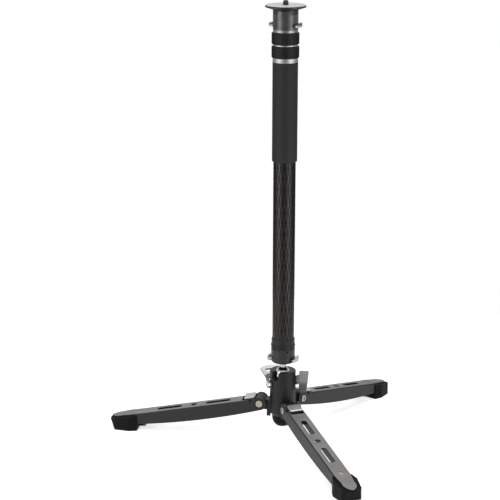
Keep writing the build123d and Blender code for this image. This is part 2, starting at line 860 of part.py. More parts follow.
def leg_latch():
    low = leg_top + latch_plate_lift
    plate = bar(latch_plate_start, latch_plate_end, latch_plate_half_width, low, low + latch_plate_thickness)
    nose = [e for e in plate.edges().filter_by(Axis.Z) if e.center().X < latch_plate_start + face_gap]
    plate = fillet(nose, latch_nose_rounding)
    plate = round_edges(
        plate, latch_plate_rounding, lambda e: e.center().Z > low + latch_plate_thickness - face_gap
    )
    stem = bar(latch_stem_start, latch_stem_end, latch_plate_half_width, latch_stem_bottom, low)
    held_top = leg_top - leg_wall - slide_gap
    held = bar(
        latch_stem_start, latch_stem_end, leg_half_width - leg_wall - slide_gap, latch_stem_bottom, held_top
    )
    knuckle_way = along_y(knuckle_radius + slide_gap, -leg_half_width, leg_half_width)
    return plate + stem + held - knuckle_way


def leg_latch_spring():
    outer = along_x(
        latch_spring_radius, latch_stem_end + latch_travel + slide_gap, leg_web_start, latch_spring_height
    )
    inner = along_x(latch_spring_radius - latch_spring_wire, 0, leg_web_start * 2, latch_spring_height)
    return outer - inner


def hinge_bolts():
    bolt = along_y(hinge_bolt_radius, -bolt_reach, bolt_reach)
    end = bolt_reach + hinge_head_thickness
    for side in (1, -1):
        head = along_y(hinge_head_radius, bolt_reach, end)
        head = round_edges(head, hinge_head_thickness / 2, lambda e: e.center().Y > end - face_gap)
        for angle in (45, 135):
            recess = Box(cross_recess_length, cross_recess_depth * 2, cross_recess_width)
            head -= Pos(0, end, 0) * Rotation(0, angle, 0) * recess
        bolt += head if side > 0 else mirror(head, Plane.XZ)
    return group(*[turn(azimuth, on_leg(bolt)) for azimuth in leg_azimuths.values()])


# Quick release: socket, latches and spigot, the same at both ends of the pole
def latch_levels(height, side):
    """The bottom and top of a latch's ring, the back one lying under the front one."""
    if side == "back":
        top = height - latch_ring_gap / 2
        return top - latch_ring_thickness, top
    bottom = height + latch_ring_gap / 2
    return bottom, bottom + latch_ring_thickness


def spring_rod(height, side, radius, start, end):
    """A rod where a latch's spring lies, over +X, beside the other latch's tab."""
    low, high = latch_levels(height, side)
    offset = spring_offset if side == "front" else -spring_offset
    return Pos(0, offset, 0) * along_x(radius, start, end, (low + high) / 2)


def socket_ways(height, top, window_top):
    """What is cut out of a socket's body for the spigot, the latches, their tabs and springs."""
    low = height - cavity_half_height
    high = height + cavity_half_height
    ways = disc(socket_radius, height, top + overrun)
    ways += disc(latch_cavity_radius, low, high)
    ways += disc(head_pocket_radius, low - head_pocket_depth, height)
    slot = sector(tab_radius, latch_ring_radius, low, high, tab_slot_half_angle)
    slot += sector(tab_radius, latch_cavity_radius - slide_gap, low, window_top, tab_slot_half_angle)
    for side, azimuth in latch_azimuths.items():
        pocket = spring_rod(height, side, spring_radius + face_gap, -spring_end_reach, 0)
        ways += turn(azimuth, slot) + turn(azimuth, pocket)
    return ways


def latch(height, side):
    """The ring that catches a spigot, with the curved plate that sticks out to be pushed."""
    low, high = latch_levels(height, side)
    rim = Pos(button_travel, 0, 0) * ring(latch_ring_radius, latch_ring_radius - latch_ring_width, low, high)
    plate = sector(tab_radius, latch_ring_radius - latch_ring_width, low, high, tab_half_angle)
    plate -= Pos(button_travel, 0, 0) * disc(
        latch_ring_radius - latch_ring_width / 2, low - overrun, high + overrun
    )
    return rim + plate


def base_latch(side):
    """A latch whose plate has a lip round its edge and a small hole."""
    low = cup_button_height - tab_lip_drop
    high = cup_button_height + tab_lip_rise
    lip = sector(tab_radius, tab_radius - tab_lip_width, low, high, tab_half_angle)
    hole = Pos(tab_hole_reach, 0, 0) * disc(tab_hole_radius, low - overrun, high + overrun)
    return turn(latch_azimuths[side], latch(cup_button_height, side) + lip - hole)


def top_latch(side):
    """A latch whose plate ends in a thicker grip."""
    low = collar_button_height - tab_grip_height / 2
    high = collar_button_height + tab_grip_height / 2
    grip_end = sector(tab_radius, tab_radius - tab_grip_width, low, high, tab_half_angle)
    return turn(latch_azimuths[side], latch(collar_button_height, side) + grip_end)


def latch_springs(height):
    """The two small springs that push the latches out."""
    bodies = []
    for side, azimuth in latch_azimuths.items():
        spring = spring_rod(height, side, spring_radius, -spring_end_reach, -spring_start_reach)
        spring -= spring_rod(height, side, spring_bore, -spring_end_reach - overrun, 0)
        bodies.append(turn(azimuth, spring))
    return group(*bodies)


def spigot(height, top):
    """The stepped shank that a socket holds."""
    shoulder = height + spigot_shoulder_rise
    head_top = height - spigot_head_top
    body = disc(socket_radius - running_gap, shoulder, top)
    body += disc(spigot_neck_radius, head_top, shoulder)
    return body + disc(spigot_head_radius, head_top - spigot_head_thickness, head_top)


def release_cup():
    body = disc(cup_radius, cup_bottom, cup_top)
    body = round_edges(body, cup_rounding, lambda e: e.center().Z < cup_bottom + face_gap)
    body = chamfer([e for e in body.edges() if e.center().Z > cup_top - face_gap], cup_chamfer)
    body -= socket_ways(cup_button_height, cup_top, cup_button_height + tab_window_rise)
    body -= disc(neck_stud_radius + running_gap, cup_bottom - overrun, cup_button_height)
    pinhole = along_x(
        cup_pinhole_radius, cup_radius - cup_pinhole_depth, cup_radius + overrun, cup_top - cup_pinhole_drop
    )
    return body - turn(cup_pinhole_azimuth, pinhole)


def base_spigot():
    body = spigot(cup_button_height, cup_top + face_gap)
    body += disc(spigot_groove_radius, cup_top + face_gap, flange_bottom)
    middle = (cup_top + flange_bottom) / 2
    body += disc(seal_ring_radius, middle - seal_ring_height / 2, middle + seal_ring_height / 2)
    return body + disc(spigot_stud_radius, flange_bottom, flange_bottom + spigot_stud_reach)


# Pole: tubes, bushes, grip and twist locks
def tube_end_cap():
    body = disc(cap_flange_radius, flange_bottom, flange_top)
    body += disc(cap_radius, flange_top, cap_top)
    body = chamfer([e for e in body.edges() if e.center().Z > cap_top - face_gap], cap_chamfer)
    body -= ring(main_tube_radius, main_bore, main_tube_bottom, cap_top + overrun)
    body += disc(main_bore, main_tube_bottom, main_tube_bottom + cap_plug_height)
    return body - disc(spigot_stud_radius, cup_top, flange_bottom + spigot_stud_reach)


def main_tube():
    return ring(main_tube_radius, main_bore, main_tube_bottom, main_tube_top)


def mid_tube():
    return ring(mid_tube_radius, mid_bore, mid_tube_bottom, mid_tube_top)


def inner_tube():
    return ring(inner_tube_radius, inner_bore, inner_tube_bottom, top_ring_top)


def tube_bush(tube_bottom, tube_radius, tube_wall, bore):
    """The plastic bush that guides the foot of a tube in the next one."""
    low = tube_bottom - bush_lip
    body = ring(bore - running_gap, tube_radius, tube_bottom, tube_bottom + bush_length)
    return body + ring(bore - running_gap, tube_radius - tube_wall, low, tube_bottom)


def mid_tube_bush():
    return tube_bush(mid_tube_bottom, mid_tube_radius, mid_tube_wall, main_bore)


def inner_tube_bush():
    return tube_bush(inner_tube_bottom, inner_tube_radius, inner_tube_wall, mid_bore)


def grip():
    body = ring(grip_radius, main_tube_radius, lower_ring_bottom - grip_length, lower_ring_bottom)
    low = lower_ring_bottom - grip_length
    return round_edges(
        body, grip_rounding,
        lambda e: e.center().Z < low + face_gap and e.radius > main_tube_radius + face_gap
    )


def thread_ring(radius, bottom, height, tube_radius, socket_depth, grooved):
    """A bright ring with a threaded boss, fixed on the top end of a tube."""
    top = bottom + height
    body = disc(radius, bottom, top)
    body = chamfer(body.edges().filter_by(GeomType.CIRCLE), ring_chamfer)
    if grooved:
        middle = (bottom + top) / 2
        groove = ring(
            radius + overrun, radius - ring_groove_depth, middle - ring_groove_width / 2,
            middle + ring_groove_width / 2
        )
        body -= groove
    body += disc(thread_boss_radius, top, top + thread_boss_height)
    body -= disc(tube_radius, bottom - overrun, bottom + socket_depth)
    return body - disc(tube_radius - socket_lip, bottom, top + thread_boss_height + overrun)


def lower_ring():
    return thread_ring(
        lower_ring_radius, lower_ring_bottom, lower_ring_height, main_tube_radius, ring_socket_depth, True
    )


def middle_ring():
    return thread_ring(
        middle_ring_radius, middle_ring_bottom, middle_ring_height, mid_tube_radius, middle_socket_depth,
        False
    )


def collet(bottom, outer, inner):
    """A split cone that a twist nut squeezes on the sliding tube."""
    top = bottom + collet_height
    seat = bottom + collet_height / 2
    body = disc(outer, bottom, seat) + cone(outer, inner + collet_tip_wall, seat, top)
    body -= disc(inner, bottom - overrun, top + overrun)
    for index in range(collet_slots):
        cut = bar(0, outer + overrun, collet_slot_width / 2, bottom + collet_wall, top + overrun)
        body -= turn(index * 360 / collet_slots, cut)
    return body


def lower_collet():
    outer = main_tube_radius - socket_lip - running_gap
    return collet(main_tube_top + face_gap, outer, mid_tube_radius + running_gap)


def upper_collet():
    outer = mid_tube_radius - socket_lip - running_gap
    return collet(mid_tube_top + face_gap, outer, inner_tube_radius + running_gap)


def lock_nut(bottom, collet_bottom, collet_outer, tube_radius):
    """The threaded nut of a twist lock, with the cone that closes the collet."""
    top = bottom + nut_length
    boss_top = bottom - slide_gap + thread_boss_height + slide_gap
    cone_top = collet_bottom + collet_height + slide_gap
    body = disc(nut_radius, bottom, top)
    body -= disc(thread_boss_radius + running_gap, bottom - overrun, boss_top)
    tip = tube_radius + running_gap + collet_tip_wall + slide_gap
    body -= cone(collet_outer + slide_gap, tip, boss_top, cone_top)
    return body - disc(tube_radius + slide_gap, bottom, top + overrun)


def lower_lock_nut():
    outer = main_tube_radius - socket_lip
    return lock_nut(lower_nut_bottom, main_tube_top + face_gap, outer, mid_tube_radius)


def upper_lock_nut():
    outer = mid_tube_radius - socket_lip
    return lock_nut(upper_nut_bottom, mid_tube_top + face_gap, outer, inner_tube_radius)


def lock_sleeve(bottom):
    """The ribbed rubber sleeve round a twist nut."""
    top = bottom + nut_length
    outline = Circle(sleeve_radius)
    for index in range(sleeve_rib_count):
        groove = Pos(sleeve_radius, 0) * Rectangle(sleeve_rib_depth * 2, sleeve_rib_width)
        outline -= Rotation(0, 0, index * 360 / sleeve_rib_count) * groove
    ribbed = Pos(0, 0, bottom) * extrude(outline, nut_length)
    barrel = turned(
        (0, bottom),
        (sleeve_radius - sleeve_chamfer, bottom),
        (sleeve_radius, bottom + sleeve_chamfer),
        (sleeve_radius, top - sleeve_chamfer),
        (sleeve_radius - sleeve_chamfer, top),
        (0, top),
    )
    return (ribbed & barrel) - disc(nut_radius, bottom - overrun, top + overrun)


def top_ring():
    body = ring(top_ring_radius, inner_tube_radius, top_ring_bottom, top_ring_top)
    outer = [
        e for e in body.edges() if e.geom_type == GeomType.CIRCLE and e.radius > inner_tube_radius + face_gap
    ]
    return chamfer(outer, ring_chamfer)


def top_collar():
    body = disc(collar_radius, top_ring_top, collar_top)
    body += ring(inner_bore, collar_plug_bore, top_ring_top - collar_plug_length, top_ring_top)
    body -= socket_ways(collar_button_height, collar_top, collar_button_height + cavity_half_height)
    for index in range(dog_count):
        gap = lug(
            collar_radius + overrun,
            dog_inner_radius - slide_gap,
            collar_top - dog_depth,
            collar_top,
            dog_low_half_width + dog_side_gap,
            dog_high_half_width + dog_side_gap,
        )
        body -= turn(dog_azimuth + index * 360 / dog_count, gap)
    panel_low = top_ring_top + collar_panel_bottom
    panel = sector(
        collar_radius + overrun,
        collar_radius - collar_panel_depth,
        panel_low,
        panel_low + collar_panel_height,
        collar_panel_half_angle,
    )
    return body - turn(collar_panel_azimuth, panel)


def camera_platform():
    body = spigot(collar_button_height, skirt_bottom)
    body += disc(collar_radius, skirt_bottom, platform_cone_bottom)
    for index in range(dog_count):
        dog = lug(
            collar_radius,
            dog_inner_radius,
            collar_top - dog_depth,
            collar_top,
            dog_low_half_width,
            dog_high_half_width,
        )
        dog += lug(
            collar_radius, dog_inner_radius, collar_top, platform_cone_bottom, dog_high_half_width,
            dog_high_half_width
        )
        body += turn(dog_azimuth + index * 360 / dog_count, dog)
    body += cone(platform_root_radius, platform_rim_radius, platform_cone_bottom, platform_disc_bottom)
    body += turned(
        (0, platform_disc_bottom),
        (platform_rim_radius, platform_disc_bottom),
        (platform_rim_radius, platform_top - platform_disc_height / 2),
        (platform_disc_radius, platform_top - platform_edge_chamfer),
        (platform_disc_radius - platform_edge_chamfer, platform_top),
        (0, platform_top),
    )
    body -= disc(stud_recess_radius, platform_top - stud_recess_depth, platform_top + overrun)
    return body - disc(stud_root_radius, platform_top - stud_root, platform_top)


def camera_stud():
    stud_top = platform_top + stud_reach
    seat = platform_top - stud_recess_depth
    body = disc(stud_root_radius, platform_top - stud_root, seat)
    body += disc(stud_neck_radius, seat, platform_top + stud_neck_height)
    body += disc(stud_radius, platform_top + stud_neck_height, stud_top)
    return body + disc(stud_tip_radius, stud_top, stud_top + stud_tip_reach)


def nodes():
    """Every node by name."""
    made = {
        "camera_platform": camera_platform(),
        "camera_stud": camera_stud(),
        "top_collar": top_collar(),
        "top_latch_springs": latch_springs(collar_button_height),
        "base_latch_springs": latch_springs(cup_button_height),
        "top_ring": top_ring(),
        "upper_lock_nut": upper_lock_nut(),
        "upper_lock_sleeve": lock_sleeve(upper_nut_bottom),
        "upper_collet": upper_collet(),
        "middle_ring": middle_ring(),
        "lower_lock_nut": lower_lock_nut(),
        "lower_lock_sleeve": lock_sleeve(lower_nut_bottom),
        "lower_collet": lower_collet(),
        "lower_ring": lower_ring(),
        "inner_tube": inner_tube(),
        "inner_tube_bush": inner_tube_bush(),
        "mid_tube": mid_tube(),
        "mid_tube_bush": mid_tube_bush(),
        "main_tube": main_tube(),
        "grip": grip(),
        "tube_end_cap": tube_end_cap(),
        "base_spigot": base_spigot(),
        "release_cup": release_cup(),
        "hex_neck": hex_neck(),
        "pivot_ball": pivot_ball(),
        "ball_housing": ball_housing(),
        "ball_seat": ball_seat(),
        "seat_plug": seat_plug(),
        "clamp_pad": clamp_pad(),
        "lock_knob": lock_knob(),
        "lock_screw": lock_screw(),
        "knob_washer": knob_washer(),
        "pedal": pedal(),
        "pedal_screws": pedal_screws(),
        "centre_foot": centre_foot(),
        "centre_foot_screw": centre_foot_screw(),
        "bracket_screws": bracket_screws(),
        "hinge_bolts": hinge_bolts(),
    }
    for side in latch_azimuths:
        made[f"top_latch_{side}"] = top_latch(side)
        made[f"base_latch_{side}"] = base_latch(side)
    on_each_leg = {
        "bracket": leg_bracket(),
        "leg": on_leg(leg_channel()),
        "foot": rubber_foot(),
        "foot_fixing": foot_fixing(),
        "latch": on_leg(leg_latch()),
        "latch_spring": on_leg(leg_latch_spring()),
    }
    for side, azimuth in leg_azimuths.items():
        for piece, shape in on_each_leg.items():
            made[f"{side}_{piece}"] = turn(azimuth, shape)
    return made


os.makedirs("parts", exist_ok=True)
for name, shape in nodes().items():
    export_step(shape, f"parts/{name}.step")
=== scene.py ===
# %% [markdown]
# A camera monopod on a three-legged base.
# The solids come packed from the CAD, each at its real place and size in metres, and this lesson dresses
# them: a camera, a finish for every piece, finer shapes for a few small ones, and light. Loading the
# solids first gives every later cell something to measure from.

# %% Load the solids
import math

import bmesh
import bpy
from mathutils import Matrix, Vector


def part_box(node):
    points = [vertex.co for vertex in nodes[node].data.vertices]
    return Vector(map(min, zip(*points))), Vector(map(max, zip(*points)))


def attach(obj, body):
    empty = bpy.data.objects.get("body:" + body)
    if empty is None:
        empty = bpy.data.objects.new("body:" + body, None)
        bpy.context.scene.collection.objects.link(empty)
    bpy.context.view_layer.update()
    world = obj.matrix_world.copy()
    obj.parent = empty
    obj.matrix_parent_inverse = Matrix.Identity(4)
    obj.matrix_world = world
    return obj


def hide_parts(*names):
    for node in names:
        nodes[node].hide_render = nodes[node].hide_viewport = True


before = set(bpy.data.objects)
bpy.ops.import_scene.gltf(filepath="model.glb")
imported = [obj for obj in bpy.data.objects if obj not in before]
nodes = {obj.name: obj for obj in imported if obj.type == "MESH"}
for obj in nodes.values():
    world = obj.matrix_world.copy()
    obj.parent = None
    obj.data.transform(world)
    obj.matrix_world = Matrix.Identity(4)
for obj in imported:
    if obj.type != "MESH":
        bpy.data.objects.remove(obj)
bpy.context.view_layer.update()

# %% [markdown]
# The camera, the lamps and every new piece are data first, and show only once an object in the scene
# holds them.

# %% New objects
scene = bpy.context.scene


def add_object(name, data):
    """A new object in the scene."""
    made = bpy.data.objects.new(name, data)
    scene.collection.objects.link(made)
    return made


print("scene", scene.name)

# %% [markdown]
# The camera stands where the photographer stood: in front, a little to the right, and above the pole's
# top, with a long lens. Its place and turn were worked out from the edges of the pole and the three feet.
# It could be aimed at a point, but an aim can't roll, so its matrix is built from the direction it looks
# along, the direction to its right, and up.

# %% Camera
CAMERA_PLACE = Vector((0.3740, -2.6275, 1.0470))
CAMERA_TURN = math.radians(-9.29)
CAMERA_TILT = math.radians(15.24)
CAMERA_ROLL = math.radians(0.14)
CAMERA_REACH = 20.0
FOCAL_PIXELS = 1689.0
PICTURE_PIXELS = 500.0
SENSOR_MM = 36.0


def camera_matrix(place, turn, tilt, roll):
    """Where a camera is and how it is turned, as one matrix."""
    ahead = Vector((math.sin(turn) * math.cos(tilt), math.cos(turn) * math.cos(tilt), -math.sin(tilt)))
    level = Vector((math.cos(turn), -math.sin(turn), 0.0))
    above = level.cross(ahead)
    right = level * math.cos(roll) + above * math.sin(roll)
    up = above * math.cos(roll) - level * math.sin(roll)
    matrix = Matrix((right, up, -ahead)).transposed().to_4x4()
    matrix.translation = place
    return matrix


camera_data = bpy.data.cameras.new("studio_camera")
camera_data.sensor_width = SENSOR_MM
camera_data.lens = FOCAL_PIXELS / PICTURE_PIXELS * SENSOR_MM
camera_data.clip_end = CAMERA_REACH
camera = add_object("studio_camera", camera_data)
camera.matrix_world = camera_matrix(CAMERA_PLACE, CAMERA_TURN, CAMERA_TILT, CAMERA_ROLL)
scene.camera = camera
print("lens", round(camera_data.lens, 1), "mm")

# %% [markdown]
# Maths on a surface, such as one minus a mask, takes a node for each step, and wiring them by hand hides
# what is worked out. A small class that stands for a socket lets Python's own signs add those nodes. Each
# sign has its turned form too, so that a plain number may come first.

# %% Shader maths written as Python
class Signal:
    """The output of a node, which the signs of Python's arithmetic work on."""

    def __init__(self, shading, socket):
        self.shading = shading
        self.socket = socket

    def maths(self, operation, *values):
        return self.shading.node("ShaderNodeMath", {"operation": operation}, dict(enumerate(values)))

    def __add__(self, other):
        return self.maths("ADD", self, other)

    def __radd__(self, other):
        return self.maths("ADD", other, self)

    def __sub__(self, other):
        return self.maths("SUBTRACT", self, other)

    def __rsub__(self, other):
        return self.maths("SUBTRACT", other, self)

    def __mul__(self, other):
        return self.maths("MULTIPLY", self, other)

    def __rmul__(self, other):
        return self.maths("MULTIPLY", other, self)

    def __gt__(self, other):
        return self.maths("GREATER_THAN", self, other)

    def __lt__(self, other):
        return self.maths("LESS_THAN", self, other)

    def size(self):
        return self.maths("ABSOLUTE", self)

    def sine(self):
        return self.maths("SINE", self)

    def root(self):
        return self.maths("SQRT", self)

    def most(self, other):
        """The greater of two."""
        return self.maths("MAXIMUM", self, other)

    def between(self, low, high):
        """How far this has come from low to high, eased at both ends."""
        settings = {"interpolation_type": "SMOOTHSTEP"}
        sockets = {"Value": self, "From Min": low, "From Max": high}
        return self.shading.node("ShaderNodeMapRange", settings, sockets)


print("signs of shader maths ready")

# %% [markdown]
# A material and the world are both made of nodes, and every node is added alike. Its settings come first,
# because they can change which sockets it has, and then each socket gets a value or a link. So one method
# adds any kind of node to either.

# %% Nodes
class Shading:
    """The nodes of a material or of the world."""

    def __init__(self, tree):
        self.tree = tree

    def fill(self, socket, value):
        """Links a signal to a socket, or sets a plain value there."""
        if isinstance(value, Signal):
            self.tree.links.new(value.socket, socket)
        else:
            socket.default_value = value

    def node(self, kind, settings=None, sockets=None, out=0):
        """Adds a node: its settings first, then the values or links of its sockets."""
        made = self.tree.nodes.new(kind)
        for setting, value in (settings or {}).items():
            setattr(made, setting, value)
        for socket, value in (sockets or {}).items():
            self.fill(made.inputs[socket], value)
        return Signal(self, made.outputs[out])


print("nodes ready")

# %% [markdown]
# A finish is one material with its shader. Its methods are what the finishes below have in common: places
# on the piece, noise, blends of two colours, and the two things that bring a surface to life, a roughness
# that wanders and a relief. The noise of a node crowds round a half, so blends take its middle stretch
# from NOISE_LOW to NOISE_HIGH as their whole way.

# %% Finishes
NOISE_LOW = 0.3
NOISE_HIGH = 0.7


class Finish(Shading):
    """A material, with its shader and the nodes that feed it."""

    def __init__(self, name, **constants):
        self.material = bpy.data.materials.new(name)
        self.material.use_nodes = True
        super().__init__(self.material.node_tree)
        self.shader = self.tree.nodes["Principled BSDF"]
        for socket, value in constants.items():
            self.feed(socket.replace("_", " "), value)

    def feed(self, socket, value):
        """Links a signal to one of the shader's own sockets, or sets a plain value there."""
        self.fill(self.shader.inputs[socket], value)

    def place(self):
        """Where a point is on the piece, in metres, riding with the piece."""
        return self.node("ShaderNodeTexCoord", out="Object")

    def facing(self):
        """Which way the surface faces, riding with the piece."""
        return self.node("ShaderNodeTexCoord", out="Normal")

    def parts(self, vector):
        """The x, y and z of a vector."""
        made = self.node("ShaderNodeSeparateXYZ", None, {0: vector})
        outputs = made.socket.node.outputs
        return [Signal(self, outputs[axis]) for axis in ("X", "Y", "Z")]

    def along(self, vector, direction):
        """How far a vector reaches in a direction."""
        settings = {"operation": "DOT_PRODUCT"}
        return self.node("ShaderNodeVectorMath", settings, {0: vector, 1: direction}, "Value")

    def blotches(self, scale, detail=2.0, stretch=(1.0, 1.0, 1.0)):
        """Noise at so many features a metre, stretched along the axes."""
        place = self.node("ShaderNodeMapping", None, {"Vector": self.place(), "Scale": stretch})
        return self.node("ShaderNodeTexNoise", None, {"Vector": place, "Scale": scale, "Detail": detail})

    def mix(self, share, first, second):
        """Blends two colours."""
        made = self.node("ShaderNodeMix", {"data_type": "RGBA"}, {"Factor": share}, "Result")
        mixer = made.socket.node
        for socket, colour in (("A", first), ("B", second)):
            slot = [s for s in mixer.inputs if s.name == socket and s.type == "RGBA"][0]
            self.fill(slot, colour if isinstance(colour, Signal) else (*colour, 1.0))
        return Signal(self, [s for s in mixer.outputs if s.type == "RGBA"][0])

    def mottle(self, noise, first, second):
        """Blends two colours by a noise."""
        return self.mix(noise.between(NOISE_LOW, NOISE_HIGH), first, second)

    def rough_about(self, level, *swings):
        """Feeds a roughness that wanders about a level, by so much in all for each noise."""
        rough = level - sum(swing for _, swing in swings) / 2
        for noise, swing in swings:
            rough = noise * swing + rough
        self.feed("Roughness", rough)

    def raise_by(self, height, distance):
        """Feeds a relief of that depth in metres to the shader's normal."""
        self.feed("Normal", self.node("ShaderNodeBump", None, {"Height": height, "Distance": distance}))


print("noise taken from", NOISE_LOW, "to", NOISE_HIGH)

# %% [markdown]
# A solid keeps its finish in a material slot of its mesh, so a piece is dressed by filling that slot. Most
# finishes blend a colour with a lighter or darker tone of itself.

# %% Dressing the solids
def tinted(colour, factor):
    """A colour made lighter or darker."""
    return tuple(channel * factor for channel in colour)


def wear(names, finish):
    """Puts a finish on solids by their names."""
    for name in names:
        slots = nodes[name].data.materials
        slots.clear()
        slots.append(finish.material)
    print(finish.material.name, "on", len(names))


print("solids to dress", len(nodes))

# %% [markdown]
# The turned black parts are anodised or painted metal with a satin skin. Three things make it look real:
# fine grain that breaks the highlight, roughness that drifts a little, and a faint lighter tone in
# blotches. One function makes all the dark metal finishes, because they differ only in shade, grain and
# gloss.

# %% Satin black metal
SIDES = ("left", "front", "right")
FINE_GRAIN = {"grain_scale": 1600.0, "grain_depth": 0.00004}
CAST_GRAIN = {"grain_scale": 1100.0, "grain_depth": 0.00012}


def dark_metal(name, shade, roughness, shine, grain_scale, grain_depth):
    """Painted or anodised metal with a fine grain."""
    finish = Finish(name, Metallic=0.0, Specular_IOR_Level=shine)
    drift = finish.blotches(35.0)
    grain = finish.blotches(grain_scale, detail=3.0)
    finish.feed("Base Color", finish.mix(drift.between(0.35, 0.75), shade, tinted(shade, 1.35)))
    finish.rough_about(roughness, (drift, 0.12), (grain, 0.08))
    finish.raise_by(grain, grain_depth)
    return finish


wear(
    ["release_cup", "base_spigot", "lower_lock_nut", "upper_lock_nut"],
    dark_metal("satin_black", (0.011, 0.0113, 0.012), roughness=0.3, shine=0.32, **FINE_GRAIN),
)
wear(
    ["top_collar"],
    dark_metal("satin_grey", (0.036, 0.0365, 0.0375), roughness=0.3, shine=0.55, **FINE_GRAIN),
)
wear(
    ["tube_end_cap", "ball_housing", "seat_plug"] + [f"{side}_bracket" for side in SIDES],
    dark_metal("cast_black", (0.0105, 0.0105, 0.0105), roughness=0.42, shine=0.21, **CAST_GRAIN),
)

# %% [markdown]
# The thin rings between the twist locks are bare turned metal. A lathe leaves hair-fine circles, which
# stretch the highlight sideways. Noise that is drawn out sideways and varies only with height gives them,
# with no need for thousands of real grooves.

# %% Turned bright rings
HAIRS_A_METRE = 900.0
HAIR_DEPTH = 0.00002


def turned_metal(name, colour, roughness):
    """Bare metal from a lathe, with fine lines at one height after another."""
    finish = Finish(name, Metallic=1.0)
    hair = finish.blotches(HAIRS_A_METRE, detail=3.0, stretch=(0.02, 0.02, 1.0))
    drift = finish.blotches(60.0)
    finish.feed("Base Color", finish.mottle(hair, tinted(colour, 0.85), colour))
    finish.rough_about(roughness, (drift, 0.1), (hair, 0.08))
    finish.raise_by(hair, HAIR_DEPTH)
    return finish


wear(["middle_ring", "lower_ring"], turned_metal("bright_ring", (0.39, 0.385, 0.395), roughness=0.51))
# The top ring gets a darker copy of the same turned metal, which is painted shade: its upper half lies in
# shadow.
wear(["top_ring"], turned_metal("shaded_ring", (0.26, 0.257, 0.262), roughness=0.47))

# %% [markdown]
# The camera sits on a round platform with a black skirt and rim and a bare matt top. Two materials would
# need the solid's faces sorted, so one finish tells the zones apart by height and by distance from the
# middle, and fine circles on the top come from the same distance.

# %% Camera platform
TOP_SKIN = 0.0004
RIM_WIDTH = 0.0008
CIRCLES_PACE = 9000.0
TOP_GRAIN_DEPTH = 0.00003


def platform_finish():
    """A black skirt and rim round a matt light-grey top."""
    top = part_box("camera_platform")[1].z
    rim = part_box("camera_platform")[1].x
    finish = Finish("platform", Specular_IOR_Level=0.38)
    x, y, z = finish.parts(finish.place())
    radius = (x * x + y * y).root()
    bare = (z > top - TOP_SKIN) * (radius < rim - RIM_WIDTH)
    drift = finish.blotches(80.0)
    grey = finish.mottle(drift, (0.57, 0.57, 0.56), (0.66, 0.66, 0.65))
    finish.feed("Base Color", finish.mix(bare, (0.012, 0.012, 0.0125), grey))
    finish.feed("Roughness", 0.36 + bare * 0.12 + drift * 0.08)
    circles = (radius * CIRCLES_PACE).sine()
    grain = finish.blotches(1500.0, detail=3.0)
    finish.raise_by(circles * bare * 0.3 + grain, TOP_GRAIN_DEPTH)
    return finish


wear(["camera_platform"], platform_finish())

# %% [markdown]
# The tubes are woven carbon fibre under clear lacquer. Its yarns run steeply up the tube in two
# directions and cross in long slim diamonds, and the light catches a chain of them down each side. Real
# yarns would be far too many to model, so two sets of slanted waves round the tube make them in the
# finish: a little brighter, smoother and more metallic than the resin. A whole number of waves goes
# round, so that the weave has no seam.

# %% Woven carbon tubes
YARNS_AROUND = 19.0
YARN_RISE = 174.0
YARN_WOBBLE = 2.2
YARN_EDGE = 0.68
YARN_DEPTH = 0.00012


def carbon_finish():
    """Steep crossing yarns under a clear coat."""
    finish = Finish("woven_carbon", Specular_IOR_Level=0.15)
    x, y, z = finish.parts(finish.place())
    around = x.maths("ARCTAN2", y, x) * YARNS_AROUND
    up = z * YARN_RISE
    wobble = finish.blotches(30.0) * YARN_WOBBLE
    one = (around + up + wobble).sine()
    other = (around - up - wobble).sine()
    thread = one.most(other).between(YARN_EDGE, 1.0)
    fibre = finish.blotches(2400.0, stretch=(1.0, 1.0, 0.06))
    lit = thread * (fibre * 0.9 + 0.4)
    finish.feed("Base Color", finish.mix(lit, (0.0062, 0.006, 0.0062), (0.055, 0.047, 0.043)))
    finish.feed("Metallic", lit)
    finish.feed("Roughness", 0.42 - lit * 0.2)
    finish.raise_by(thread + fibre * 0.3, YARN_DEPTH)
    return finish


wear(["main_tube", "mid_tube", "inner_tube"], carbon_finish())

# %% [markdown]
# The grip is a foam sleeve: dull, with tiny closed pores and soft handling marks. The lock sleeves and
# the feet are rubber, which is darker with finer pores. One noise makes both the colour and the relief of
# the pores, so that they always lie on each other.

# %% Foam and rubber
FOAM_PORES = {"pore_scale": 2200.0, "pore_depth": 0.00012}
SLEEVE_PORES = {"pore_scale": 1500.0, "pore_depth": 0.00004}
FOOT_PORES = {"pore_scale": 900.0, "pore_depth": 0.0001}


def soft_finish(name, shade, roughness, shine, pore_scale, pore_depth):
    """Foam or rubber with fine pores."""
    finish = Finish(name, Specular_IOR_Level=shine)
    pores = finish.blotches(pore_scale, detail=4.0)
    drift = finish.blotches(18.0)
    paler = drift.between(0.4, 0.8) * 0.6 + pores * 0.3
    finish.feed("Base Color", finish.mix(paler, shade, tinted(shade, 1.5)))
    finish.rough_about(roughness, (pores, 0.15))
    finish.raise_by(pores, pore_depth)
    return finish


wear(
    ["grip"],
    soft_finish("foam", (0.0135, 0.0135, 0.014), roughness=0.625, shine=0.2, **FOAM_PORES),
)
wear(
    ["upper_lock_sleeve", "lower_lock_sleeve"],
    soft_finish("ribbed_rubber", (0.0065, 0.0065, 0.0065), roughness=0.555, shine=0.2, **SLEEVE_PORES),
)
wear(
    ["centre_foot"] + [f"{side}_foot" for side in SIDES],
    soft_finish("foot_rubber", (0.004, 0.004, 0.004), roughness=0.605, shine=0.1, **FOOT_PORES),
)

# %% [markdown]
# Small steel parts keep a plain, slightly warm metal skin with faint rubbing marks, and the ball is
# polished. They differ only in colour and gloss, so one function makes them all. Its noise is drawn out
# along one axis, which turns round blotches into short scratches.

# %% Steel and silver parts
SCRATCH_DEPTH = 0.00001


